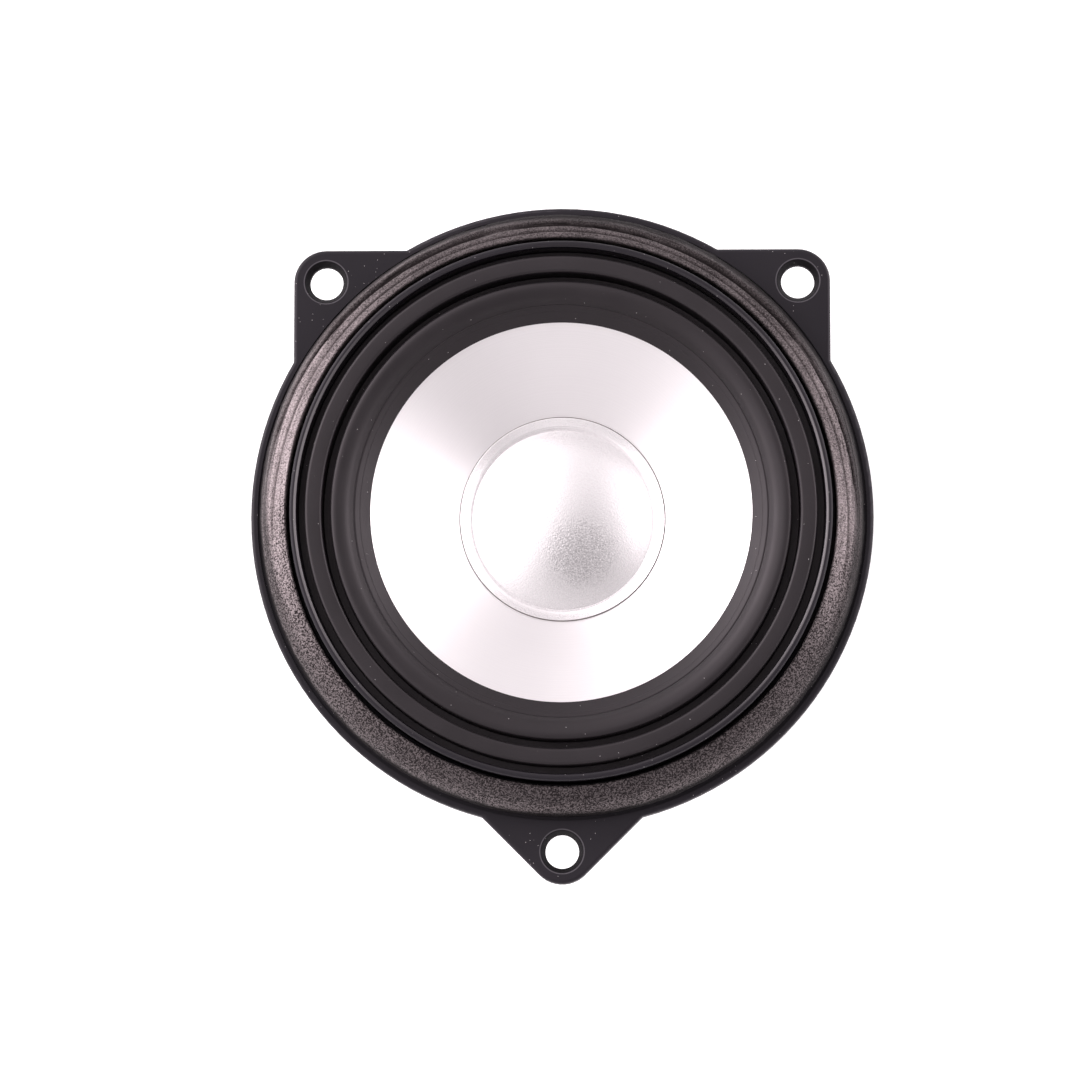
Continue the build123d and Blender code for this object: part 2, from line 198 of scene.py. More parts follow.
def dust(tree, perMetre, size, share):
    # specks where the nearest cell centre is close, for a share of the cells, thicker in some patches
    cells = tree.nodes.new("ShaderNodeTexVoronoi")
    cells.inputs["Scale"].default_value = perMetre
    tree.links.new(objectSpace(tree), cells.inputs["Vector"])
    near = mapped(tree, cells.outputs["Distance"], size * 0.6, size, 1, 0)
    split = tree.nodes.new("ShaderNodeSeparateColor")
    tree.links.new(cells.outputs["Color"], split.inputs["Color"])
    patch = mapped(tree, noise(tree, 90, 2), 0.42, 0.66, 0.25 * share, 1.8 * share)
    chosen = calc(tree, "LESS_THAN", split.outputs["Red"], patch)
    return calc(tree, "MULTIPLY", near, chosen)


def radiusAndHeight(tree):
    split = tree.nodes.new("ShaderNodeSeparateXYZ")
    tree.links.new(objectSpace(tree), split.inputs["Vector"])
    squares = calc(tree, "ADD", calc(tree, "MULTIPLY", split.outputs["X"], split.outputs["X"]),
                   calc(tree, "MULTIPLY", split.outputs["Y"], split.outputs["Y"]))
    return calc(tree, "SQRT", squares), split.outputs["Z"]


def dressNode(name, made):
    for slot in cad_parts[name].material_slots:
        slot.material = made


def gridFaces(rows, columns, wrapRows, wrapColumns):
    # cell (i, j) joins four neighbours; the last row or column joins the first where it wraps
    i = np.arange(rows if wrapRows else rows - 1)
    j = np.arange(columns if wrapColumns else columns - 1)
    i, j = np.meshgrid(i, j, indexing="ij")
    nextI, nextJ = (i + 1) % rows, (j + 1) % columns
    corners = [i * columns + j, nextI * columns + j, nextI * columns + nextJ, i * columns + nextJ]
    return np.stack(corners, -1).reshape(-1, 4)


def buildMesh(name, points, quads, triangles=None, sharp=40.0):
    # fills a mesh from arrays, turned so that its enclosed volume is positive
    triangles = np.zeros((0, 3), int) if triangles is None else triangles
    split = np.concatenate([quads[:, [0, 1, 2]], quads[:, [0, 2, 3]], triangles])
    corner = points[split]
    volume = np.einsum("ij,ij->i", corner[:, 0], np.cross(corner[:, 1], corner[:, 2])).sum()
    if volume < 0:
        quads, triangles = quads[:, ::-1], triangles[:, ::-1]
    mesh = bpy.data.meshes.new(name)
    mesh.vertices.add(len(points))
    mesh.vertices.foreach_set("co", points.astype(np.float32).ravel())
    mesh.loops.add(quads.size + triangles.size)
    corners = np.concatenate([quads.ravel(), triangles.ravel()])
    mesh.loops.foreach_set("vertex_index", corners.astype(np.int32))
    sizes = np.concatenate([np.full(len(quads), 4), np.full(len(triangles), 3)])
    mesh.polygons.add(len(sizes))
    mesh.polygons.foreach_set("loop_start", (np.cumsum(sizes) - sizes).astype(np.int32))
    mesh.update(calc_edges=True)
    mesh.validate()
    mesh.shade_smooth()
    mesh.set_sharp_from_angle(angle=math.radians(sharp))
    piece = bpy.data.objects.new(name, mesh)
    bpy.context.scene.collection.objects.link(piece)
    return piece


def lathe(name, profile, steps, made, body, replaced=(), wave=None, sharp=40.0):
    # radius and height of a closed profile, carried once round Z; wave moves each point by its angle
    profile = np.asarray(profile, float)
    angle = np.arange(steps) * 2 * np.pi / steps
    radius = np.repeat(profile[:, :1], steps, 1)
    height = np.repeat(profile[:, 1:], steps, 1)
    if wave:
        radius, height = wave(radius, height, angle)
    points = np.stack([radius * np.cos(angle), radius * np.sin(angle), height], -1).reshape(-1, 3) * mm
    piece = buildMesh(name, points, gridFaces(len(profile), steps, True, True), sharp=sharp)
    return finished(piece, made, body, replaced)


def latheSolid(name, profile, steps, made, body, replaced=(), sharp=40.0):
    # as lathe, for an open profile whose two ends lie on the axis; each end is one pole point
    profile = np.asarray(profile, float)
    angle = np.arange(steps) * 2 * np.pi / steps
    inner = profile[1:-1]
    radius, height = np.repeat(inner[:, :1], steps, 1), np.repeat(inner[:, 1:], steps, 1)
    ringPoints = np.stack([radius * np.cos(angle), radius * np.sin(angle), height], -1).reshape(-1, 3)
    poles = np.array([[0, 0, profile[0, 1]], [0, 0, profile[-1, 1]]])
    points = np.concatenate([ringPoints, poles]) * mm
    quads = gridFaces(len(inner), steps, False, True)
    near = np.arange(steps)
    far = near + (len(inner) - 1) * steps
    first = np.stack([np.full(steps, len(ringPoints)), near, np.roll(near, -1)], -1)
    last = np.stack([np.full(steps, len(ringPoints) + 1), np.roll(far, -1), far], -1)
    piece = buildMesh(name, points, quads, np.concatenate([first, last]), sharp=sharp)
    return finished(piece, made, body, replaced)


def finished(piece, made, body, replaced=()):
    piece.data.materials.append(made)
    if body:
        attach(piece, body)
    if replaced:
        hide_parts(*replaced)
    return piece


def rounded(corners, cut, closed=True, steps=7):
    # each corner becomes a quadratic curve between two points a cut away along its sides
    corners = np.asarray(corners, float)
    cut = np.broadcast_to(np.asarray(cut, float), len(corners))
    before, after = np.roll(corners, 1, 0) - corners, np.roll(corners, -1, 0) - corners
    lengths = [np.linalg.norm(side, axis=1) for side in (before, after)]
    t = np.linspace(0, 1, steps)[None, :, None]
    starts = []
    for side, length in zip((before, after), lengths):
        share = np.minimum(cut / length, 0.45)
        starts.append(corners + side * share[:, None])
    a, c = starts[0][:, None], starts[1][:, None]
    b = corners[:, None]
    curve = (1 - t) ** 2 * a + 2 * t * (1 - t) * b + t**2 * c
    if closed:
        return curve.reshape(-1, 2)
    return np.concatenate([corners[:1], curve[1:-1].reshape(-1, 2), corners[-1:]])


def thickened(path, half):
    # a closed outline: the path moved by half a wall to each side along its normal
    path = np.asarray(path, float)
    along = np.gradient(path, axis=0)
    normal = np.stack([-along[:, 1], along[:, 0]], 1) / np.linalg.norm(along, axis=1)[:, None]
    half = np.broadcast_to(np.asarray(half, float), len(path))[:, None]
    return np.concatenate([path + normal * half, (path - normal * half)[::-1]])


def smoothNoise(rows, columns, rowBlur, columnBlur, seed):
    # white noise softened by a Gaussian in the frequency plane, so both directions wrap
    white = np.random.default_rng(seed).standard_normal((rows, columns))
    fr, fc = np.fft.fftfreq(rows)[:, None], np.fft.fftfreq(columns)[None, :]
    soft = np.exp(-2 * np.pi**2 * ((fr * rowBlur) ** 2 + (fc * columnBlur) ** 2))
    field = np.fft.ifft2(np.fft.fft2(white) * soft).real
    return (field - field.mean()) / field.std()


# fixing holes in plan, in metres like every place and size that a material reads
earHoles = ((0.0, -0.0549), (0.03882, 0.03882), (-0.03882, 0.03882))


def nearestHole(tree):
    # distance in plan to the nearest of the three fixing holes
    flat = objectSpace(tree, (1, 1, 0))
    nearest = None
    for x, y in earHoles:
        away = tree.nodes.new("ShaderNodeVectorMath")
        away.operation = "DISTANCE"
        tree.links.new(flat, away.inputs[0])
        away.inputs[1].default_value = (x, y, 0)
        nearest = calc(tree, "MINIMUM", nearest, away.outputs["Value"]) if nearest else away.outputs["Value"]
    return nearest


floorShade = dict(wide=(0.030, 0.0525, 0.50), core=(0.024, 0.040, 0.3),
                  open=(0.87, 0.87, 0.875), shaded=(0.16, 0.145, 0.17), glow=0.5, shadedGlow=0.10)


def shadeUnder(tree, shader):
    # the object's own soft shade on the floor: two discs that fade between an inner and an outer radius,
    # round the point that lies behind the middle of the flange as the camera sees it
    camera = bpy.context.scene.camera.matrix_world.translation
    middle = camera * (cadBox[0][2] / camera.z)
    away = tree.nodes.new("ShaderNodeVectorMath")
    away.operation = "DISTANCE"
    tree.links.new(objectSpace(tree, (1, 1, 0)), away.inputs[0])
    away.inputs[1].default_value = (middle.x, middle.y, 0)
    reach = away.outputs["Value"]
    s = floorShade
    discs = []
    for near, far, depth in (s["wide"], s["core"]):
        discs.append(mapped(tree, reach, near, far, depth, 0, True))
    shade = calc(tree, "ADD", *discs)
    tree.links.new(mixed(tree, shade, s["open"], s["shaded"]), shader.inputs["Base Color"])
    tree.links.new(mapped(tree, shade, 0, 1, s["glow"], s["shadedGlow"]), shader.inputs["Emission Strength"])


plasticLook = dict(
    dark=(0.0036, 0.0028, 0.0045), light=(0.0060, 0.0048, 0.0070), speck=(0.45, 0.43, 0.43),
    lipInner=(0.0426, 0.0428), lipOuter=(0.0435, 0.0433), lipFoot=(0.0085, 0.0095),   # fades from, to
    wornInner=(0.04290, 0.0430), wornOuter=(0.0434, 0.0433), wornSides=5.0, worn=(0.150, 0.142, 0.144),
    ringInner=(0.00350, 0.00358), ringOuter=(0.00366, 0.00374), ringFoot=(0.0024, 0.0027),
    ring=(0.085, 0.080, 0.088), holeWall=(0.00344, 0.00352), hole=(0.0012, 0.0010, 0.0014),
    rough=(0.42, 0.52), lipGloss=-0.20, holeDull=0.35,
)


def mouldedPlastic():
    # black with a fine grain; the lip is glossier with a painted highlight on its edge that shows most at
    # both sides, and each fixing hole has painted shade inside and a thin light ring at its mouth as a
    # painted highlight
    made, tree, shader = newMaterial("mouldedPlastic")
    s = plasticLook
    radius, height = radiusAndHeight(tree)
    cloud = noise(tree, 60, 3)
    grain = noise(tree, 5200, 2)
    lip = calc(tree, "MULTIPLY", mapped(tree, radius, *s["lipInner"], 0, 1),
               mapped(tree, radius, *s["lipOuter"], 0, 1))
    lip = calc(tree, "MULTIPLY", lip, mapped(tree, height, *s["lipFoot"], 0, 1))
    specks = dust(tree, 1500, 0.10, 0.34)
    base = mixed(tree, mapped(tree, cloud, 0.3, 0.7, 0, 1), s["dark"], s["light"])
    # painted highlight: a light band along the lip's edge, strongest at the left and right sides
    worn = calc(tree, "MULTIPLY", mapped(tree, radius, *s["wornInner"], 0, 1),
                mapped(tree, radius, *s["wornOuter"], 0, 1))
    across = tree.nodes.new("ShaderNodeSeparateXYZ")
    tree.links.new(objectSpace(tree), across.inputs["Vector"])
    sideways = calc(tree, "DIVIDE", calc(tree, "ABSOLUTE", across.outputs["X"]), radius)
    side = calc(tree, "POWER", sideways, s["wornSides"])
    worn = calc(tree, "MULTIPLY", worn, calc(tree, "MULTIPLY", lip, mapped(tree, side, 0, 1, 0.05, 1)))
    edged = mixed(tree, worn, base, s["worn"])
    mouth = nearestHole(tree)
    # painted highlight: a thin light ring round the mouth of each fixing hole, near its top
    ring = calc(tree, "MULTIPLY", mapped(tree, mouth, *s["ringInner"], 0, 1),
                mapped(tree, mouth, *s["ringOuter"], 1, 0))
    ring = calc(tree, "MULTIPLY", ring, mapped(tree, height, *s["ringFoot"], 0, 0.8))
    edged = mixed(tree, ring, edged, s["ring"])
    # painted shade inside each fixing hole, which is also given a duller surface
    inside = mapped(tree, mouth, *s["holeWall"], 1, 0)
    edged = mixed(tree, inside, edged, s["hole"])
    tree.links.new(mixed(tree, specks, edged, s["speck"]), shader.inputs["Base Color"])
    rough = mapped(tree, cloud, 0.3, 0.7, *s["rough"])
    glossy = calc(tree, "ADD", calc(tree, "MULTIPLY", lip, s["lipGloss"]),
                  calc(tree, "MULTIPLY", inside, s["holeDull"]))
    tree.links.new(calc(tree, "ADD", rough, glossy), shader.inputs["Roughness"])
    tree.links.new(bumped(tree, grain, 0.00003, 0.35), shader.inputs["Normal"])
    setAll(shader, {"Specular IOR Level": 0.34, "Specular Tint": (0.97, 0.92, 1.0, 1)})
    return made


rubberLook = dict(dark=(0.0044, 0.0036, 0.0044), light=(0.0070, 0.0057, 0.0068), speck=(0.50, 0.48, 0.48),
                  rough=(0.40, 0.50))


def surroundRubber():
    made, tree, shader = newMaterial("surroundRubber")
    s = rubberLook
    cloud = noise(tree, 90, 3)
    grain = noise(tree, 7000, 2)
    specks = dust(tree, 1300, 0.09, 0.12)
    base = mixed(tree, mapped(tree, cloud, 0.3, 0.7, 0, 1), s["dark"], s["light"])
    tree.links.new(mixed(tree, specks, base, s["speck"]), shader.inputs["Base Color"])
    tree.links.new(mapped(tree, cloud, 0.3, 0.7, *s["rough"]), shader.inputs["Roughness"])
    tree.links.new(bumped(tree, grain, 0.00002, 0.3), shader.inputs["Normal"])
    setAll(shader, {"Specular IOR Level": 0.45, "Specular Tint": (1.0, 0.92, 0.96, 1)})
    return made


foamLook = dict(dark=(0.0062, 0.0048, 0.0048), light=(0.172, 0.149, 0.151), groove=(0.004, 0.0028, 0.0025),
                wall=(0.004, 0.0036, 0.004), contrast=(6.8, 2.0), paleness=(0.34, 0.68), strength=(0.25, 2.9),
                rough=(0.62, 0.50), dull=0.36)


def gasketFoam():
    # the foamMap attribute: red where the skin is pressed smooth, green for painted shade in the grooves,
    # blue for painted shade on the outer wall, and in its alpha a quarter of the painted light level of the
    # skin
    made, tree, shader = newMaterial("gasketFoam")
    s = foamLook
    skin = tree.nodes.new("ShaderNodeAttribute")
    skin.attribute_name = "foamMap"
    split = tree.nodes.new("ShaderNodeSeparateColor")
    tree.links.new(skin.outputs["Color"], split.inputs["Color"])
    pressed, groove, wall = (split.outputs[key] for key in ("Red", "Green", "Blue"))
    grain = noise(tree, 3500, 2, 0.6)
    micro = noise(tree, 9500, 1, 0.6)
    cloud = noise(tree, 170, 3)
    swing = mapped(tree, pressed, 0, 1, *s["contrast"])
    cells = calc(tree, "MULTIPLY", calc(tree, "SUBTRACT", grain, 0.5), swing)
    hairs = calc(tree, "MULTIPLY", calc(tree, "SUBTRACT", micro, 0.5), 1.6)
    drift = calc(tree, "MULTIPLY", calc(tree, "SUBTRACT", cloud, 0.5), 0.7)
    # painted light: the alpha lightens the skin, most on the inner band at both sides
    pale = mapped(tree, skin.outputs["Alpha"], 0, 1, *s["paleness"])
    lit = calc(tree, "ADD", calc(tree, "ADD", cells, hairs), calc(tree, "ADD", drift, pale))
    base = mixed(tree, mapped(tree, lit, 0, 1, 0, 1), s["dark"], s["light"])
    # painted shade in the grooves
    inGroove = mixed(tree, groove, base, s["groove"])
    toned = tree.nodes.new("ShaderNodeVectorMath")
    toned.operation = "SCALE"
    # painted shade on the foam's outer wall
    tree.links.new(mixed(tree, wall, inGroove, s["wall"]), toned.inputs[0])
    # the alpha also scales the colour as a whole, for the same painted light and shade
    tree.links.new(mapped(tree, skin.outputs["Alpha"], 0, 1, *s["strength"]), toned.inputs["Scale"])
    tree.links.new(toned.outputs["Vector"], shader.inputs["Base Color"])
    dull = mapped(tree, calc(tree, "MAXIMUM", wall, groove), 0, 1, 0, s["dull"])
    roughness = calc(tree, "ADD", mapped(tree, pressed, 0, 1, *s["rough"]), dull)
    tree.links.new(roughness, shader.inputs["Roughness"])
    setAll(shader, {"Specular IOR Level": 0.2, "Specular Tint": (1.0, 0.86, 0.90, 1)})
    height = calc(tree, "ADD", cells, calc(tree, "MULTIPLY", hairs, 0.4))
    tree.links.new(bumped(tree, height, 0.00011, 0.85), shader.inputs["Normal"])
    return made


def spunAluminium():
    # fine rings from noise along the radius alone, and a highlight stretched along them by the tangent
    made, tree, shader = newMaterial("spunAluminium")
    radius, height = radiusAndHeight(tree)
    rings = tree.nodes.new("ShaderNodeTexNoise")
    rings.noise_dimensions = "1D"
    setAll(rings, {"Scale": 9000.0, "Detail": 3.0, "Roughness": 0.7})
    tree.links.new(radius, rings.inputs["W"])
    cloud = noise(tree, 120, 2)
    shader.inputs["Metallic"].default_value = 1.0
    shader.inputs["Anisotropic"].default_value = 0.6
    ringShade = mapped(tree, rings.outputs["Fac"], 0.3, 0.7, 0, 1)
    base = mixed(tree, ringShade, (0.90, 0.885, 0.89), (0.95, 0.935, 0.94))
    tree.links.new(base, shader.inputs["Base Color"])
    tree.links.new(mapped(tree, cloud, 0.3, 0.7, 0.40, 0.46), shader.inputs["Roughness"])
    split = tree.nodes.new("ShaderNodeSeparateXYZ")
    tree.links.new(objectSpace(tree), split.inputs["Vector"])
    outwards = tree.nodes.new("ShaderNodeCombineXYZ")
    tree.links.new(split.outputs["X"], outwards.inputs["X"])
    tree.links.new(split.outputs["Y"], outwards.inputs["Y"])
    unit = tree.nodes.new("ShaderNodeVectorMath")
    unit.operation = "NORMALIZE"
    tree.links.new(outwards.outputs["Vector"], unit.inputs[0])
    tree.links.new(unit.outputs["Vector"], shader.inputs["Tangent"])
    return made


capLook = dict(patchAt=(0.0030, -0.0056, -0.0005), patchFade=(0.0025, 0.0068), dull=(0.66, 0.645, 0.655),
               bright=(1.0, 0.985, 0.99), sparkle=(0.5, 8.0), level=(0.80, 0.44), rough=(0.22, 0.30))


def blastedAluminium():
    # bead-blasted: shallow dimples with a finer frost on them, coarser in one patch right of the middle,
    # where the colour is darkened and flecked with specks as a painted dark reflection with painted glints
    made, tree, shader = newMaterial("blastedAluminium")
    s = capLook
    dimples = noise(tree, 3400, 1, 0.5)
    frost = noise(tree, 9000, 2, 0.7)
    shader.inputs["Metallic"].default_value = 1.0
    away = tree.nodes.new("ShaderNodeVectorMath")
    away.operation = "DISTANCE"
    tree.links.new(objectSpace(tree), away.inputs[0])
    away.inputs[1].default_value = s["patchAt"]
    uneven = calc(tree, "MULTIPLY", calc(tree, "SUBTRACT", noise(tree, 700, 3), 0.5), 0.004)
    # patch of painted dark reflection right of the middle
    patch = mapped(tree, calc(tree, "ADD", away.outputs["Value"], uneven), *s["patchFade"], 1, 0, True)
    # painted glints, strong in that patch and faint elsewhere
    sparkle = calc(tree, "SUBTRACT", noise(tree, 5600, 1, 0.7), 0.5)
    gain = mapped(tree, patch, 0, 1, *s["sparkle"])
    level = calc(tree, "ADD", calc(tree, "MULTIPLY", sparkle, gain), mapped(tree, patch, 0, 1, *s["level"]))
    base = mixed(tree, mapped(tree, level, 0, 1, 0, 1), s["dull"], s["bright"])
    tree.links.new(base, shader.inputs["Base Color"])
    tree.links.new(mapped(tree, frost, 0.35, 0.65, *s["rough"]), shader.inputs["Roughness"])
    coarse = bumped(tree, calc(tree, "MULTIPLY", dimples, mapped(tree, patch, 0, 1, 0.3, 1)), 0.00007, 0.9)
    tree.links.new(bumped(tree, frost, 0.00002, 0.8, coarse), shader.inputs["Normal"])
    return made


def platedSteel(name, tone, rough):
    # turned rings from noise along radius plus height, with duller clouds
    made, tree, shader = newMaterial(name)
    radius, height = radiusAndHeight(tree)
    rings = tree.nodes.new("ShaderNodeTexNoise")
    rings.noise_dimensions = "1D"
    setAll(rings, {"Scale": 3000.0, "Detail": 3.0, "Roughness": 0.7})
    tree.links.new(calc(tree, "ADD", radius, height), rings.inputs["W"])
    cloud = noise(tree, 160, 4)
    shader.inputs["Metallic"].default_value = 1.0
    dull = tuple(c * 0.72 for c in tone)
    tree.links.new(mixed(tree, mapped(tree, cloud, 0.35, 0.7, 0, 1), tone, dull), shader.inputs["Base Color"])
    tree.links.new(mapped(tree, cloud, 0.3, 0.7, rough, rough + 0.14), shader.inputs["Roughness"])
    tree.links.new(bumped(tree, rings.outputs["Fac"], 0.00002, 0.5), shader.inputs["Normal"])
    return made


def ferrite():
    # dark grey with pits sunk in a fine grain
    made, tree, shader = newMaterial("ferrite")
    cloud = noise(tree, 220, 4)
    pits = dust(tree, 1300, 0.22, 0.16)
    fine = noise(tree, 3500, 3)
    base = mixed(tree, mapped(tree, cloud, 0.3, 0.7, 0, 1), (0.028, 0.028, 0.031), (0.055, 0.054, 0.058))
    tree.links.new(mixed(tree, pits, base, (0.012, 0.012, 0.014)), shader.inputs["Base Color"])
    tree.links.new(mapped(tree, fine, 0.3, 0.7, 0.5, 0.7), shader.inputs["Roughness"])
    rough = calc(tree, "SUBTRACT", fine, pits)
    tree.links.new(bumped(tree, rough, 0.00006, 0.5), shader.inputs["Normal"])
    return made


def spiderCloth():
    # two crossed thread waves, the higher one on top, stained by resin in soft patches
    made, tree, shader = newMaterial("spiderCloth")
    weave = []
    for axis in ("X", "Y"):
        wave = tree.nodes.new("ShaderNodeTexWave")
        wave.bands_direction = axis
        setAll(wave, {"Scale": 560.0, "Distortion": 0.8, "Detail": 1.0, "Detail Scale": 2.0})
        tree.links.new(objectSpace(tree), wave.inputs["Vector"])
        weave.append(wave.outputs["Fac"])
    threads = calc(tree, "MAXIMUM", *weave)
    cloud = noise(tree, 200, 4)
    base = mixed(tree, mapped(tree, threads, 0.4, 1, 0, 1), (0.13, 0.062, 0.014), (0.46, 0.26, 0.070))
    stain = mixed(tree, mapped(tree, cloud, 0.4, 0.75, 0, 0.5), base, (0.22, 0.10, 0.024))
    tree.links.new(stain, shader.inputs["Base Color"])
    shader.inputs["Roughness"].default_value = 0.72
    tree.links.new(bumped(tree, threads, 0.00012, 0.9), shader.inputs["Normal"])
    return made


def braidedCopper():
    # the braid attribute is 1 on top of a strand and 0 in the gaps between strands, which get a dark colour
    # as painted shade
    made, tree, shader = newMaterial("braidedCopper")
    braid = tree.nodes.new("ShaderNodeAttribute")
    braid.attribute_name = "braid"
    cloud = noise(tree, 500, 3)
    bright = mixed(tree, mapped(tree, cloud, 0.3, 0.7, 0, 1), (0.72, 0.52, 0.34), (0.80, 0.66, 0.52))
    strand = mapped(tree, braid.outputs["Fac"], 0.2, 0.8, 0, 1)
    # painted shade: the gaps between strands are darkened
    tree.links.new(mixed(tree, strand, (0.10, 0.055, 0.03), bright), shader.inputs["Base Color"])
    shader.inputs["Metallic"].default_value = 0.85
    tree.links.new(mapped(tree, cloud, 0.3, 0.7, 0.34, 0.46), shader.inputs["Roughness"])
    return made


def plainFinish(name, dark, light, rough, metallic=0.0, scale=900.0, depth=0.00003):
    # two close tones in soft clouds, with a finer noise for roughness and bump
    made, tree, shader = newMaterial(name)
    cloud = noise(tree, scale / 6, 4)
    fine = noise(tree, scale * 3, 3)
    tree.links.new(mixed(tree, mapped(tree, cloud, 0.3, 0.7, 0, 1), dark, light), shader.inputs["Base Color"])
    tree.links.new(mapped(tree, fine, 0.3, 0.7, rough - 0.06, rough + 0.06), shader.inputs["Roughness"])
    shader.inputs["Metallic"].default_value = metallic
    tree.links.new(bumped(tree, fine, depth, 0.5), shader.inputs["Normal"])
    return made


coneSizes = dict(angle=36.3, visibleRadius=31.1, visibleHeight=8.5, edgeRadius=34.3, thickness=0.4,
                 formerRadius=12.9, neckLength=1.4)


def coneHeight(radius, off=0.0):
    # height of the cone's front, a straight slope, plus a distance square to it
    slope = math.radians(coneSizes["angle"])
    return (coneSizes["visibleHeight"] - (coneSizes["visibleRadius"] - np.asarray(radius)) * math.tan(slope)
            + off / math.cos(slope))


def makeCone(made):
    # the straight slope from the former out to the edge, the same slope a wall behind it, and an upright
    # neck down the former
    s = coneSizes
    front = np.linspace(s["formerRadius"] + 0.1, s["edgeRadius"] - 0.05, 60)
    back = np.linspace(s["edgeRadius"] - 0.05, s["formerRadius"] + s["thickness"] + 0.05, 24)
    foot = float(coneHeight(s["formerRadius"])) - s["neckLength"]
    profile = np.concatenate([
        np.stack([front, coneHeight(front)], 1),
        [[s["edgeRadius"], float(coneHeight(s["edgeRadius"], -0.1))],
         [s["edgeRadius"], float(coneHeight(s["edgeRadius"], -0.3))]],
        np.stack([back, coneHeight(back, -s["thickness"])], 1),
        [[s["formerRadius"] + s["thickness"], foot + 0.1], [s["formerRadius"] + s["thickness"] - 0.1, foot],
         [s["formerRadius"], foot], [s["formerRadius"], float(coneHeight(s["formerRadius"])) - 0.1]],
    ])
    return lathe("coneShell", profile, 384, made, "cone", ("cone",))


def makeDustCap(made):
    # a rim that lies on the cone, a fine bead at the crease, then a dome on a circle through crease and crown
    s = dict(outer=16.8, crease=15.0, dome=3.6, thickness=0.3, foot=14.6, bead=0.07)
    lift = s["thickness"] / math.cos(math.radians(coneSizes["angle"]))
    creaseHeight = float(coneHeight(s["crease"])) + lift
    ball = (s["crease"] ** 2 + s["dome"] ** 2) / (2 * s["dome"])
    centre = creaseHeight + s["dome"] - ball
    r = np.linspace(0, s["crease"] - 0.12, 60)
    top = np.stack([r, centre + np.sqrt(ball**2 - r**2)], 1)
    valley = np.array([[s["crease"] - 0.03, creaseHeight - 0.03], [s["crease"] + 0.05, creaseHeight - 0.02]])
    rimRadius = np.linspace(s["crease"] + 0.12, s["outer"] - 0.06, 26)
    swell = s["bead"] * np.exp(-((rimRadius - s["crease"] - 0.34) / 0.14) ** 2)
    rim = np.stack([rimRadius, coneHeight(rimRadius) + lift + swell], 1)
    edge = float(coneHeight(s["outer"]))
    outerEdge = np.array([[s["outer"], edge + lift - 0.06], [s["outer"], edge + 0.01]])
    foot = np.array([[s["foot"], float(coneHeight(s["foot"])) + 0.01]])
    inner = np.linspace(s["foot"], 0, 40)
    bottom = np.stack([inner, centre + np.sqrt((ball - s["thickness"]) ** 2 - inner**2)], 1)
    profile = np.concatenate([top, valley, rim, outerEdge, foot, bottom])
    return latheSolid("dustCapShell", profile, 320, made, "cone", ("dust_cap",))


def makeCapGlue(made):
    # the dark seam line where the cap's rim ends on the cone: a flat bead that follows the slope
    r = np.array([16.74, 16.83, 16.90, 16.94, 16.88, 16.74])
    off = np.array([0.10, 0.12, 0.05, 0.01, -0.05, -0.05])
    outline = np.stack([r, coneHeight(r, off)], 1)
    return lathe("capSeam", rounded(outline, 0.05, steps=4), 320, made, "cone")


surroundSizes = dict(thickness=0.5, outerEdge=42.7, seat=7.4, rollTop=12.6, ridgeTop=12.8, grooveTop=7.6)


def makeSurround(made):
    # the middle of the wall, corner by corner from the cone out to the seat, then half a wall to each side
    s = surroundSizes
    half = s["thickness"] / 2
    flange = float(coneHeight(33.7, half))
    path = [
        (31.1, float(coneHeight(31.1, half))), (32.72, float(coneHeight(32.72, half))),
        (32.82, float(coneHeight(32.82, half)) - 0.045), (32.95, float(coneHeight(32.95, half))),
        (33.52, float(coneHeight(33.52, half))), (33.74, flange - 0.20), (33.95, flange + 0.16),
        (34.80, s["rollTop"] - 0.72), (36.30, s["rollTop"] - 0.27), (37.14, s["rollTop"] - 0.42),
        (37.15, s["grooveTop"] - half), (39.0, s["grooveTop"] - half),
        (39.0, s["ridgeTop"] - half), (41.25, s["ridgeTop"] - half), (41.25, s["seat"] + half + 0.01),
        (s["outerEdge"], s["seat"] + half + 0.01),
    ]
    cuts = [0, 0.05, 0.05, 0.05, 0.08, 0.10, 0.10, 0.75, 0.75, 0.36, 0.5, 0.5, 0.30, 0.30, 0.5, 0]
    middle = rounded(path, cuts, closed=False, steps=7)
    taper = np.interp(middle[:, 0], [31.1, 31.5], [0.5, 1.0])
    piece = lathe("surroundRing", thickened(middle, half * taper), 480, made, None, sharp=70)
    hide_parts("surround")
    flexBetween(piece)
    return piece


def flexBetween(piece):
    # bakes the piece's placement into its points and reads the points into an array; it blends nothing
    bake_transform(piece)
    count = len(piece.data.vertices)
    points = np.empty(count * 3, np.float32)
    piece.data.vertices.foreach_get("co", points)


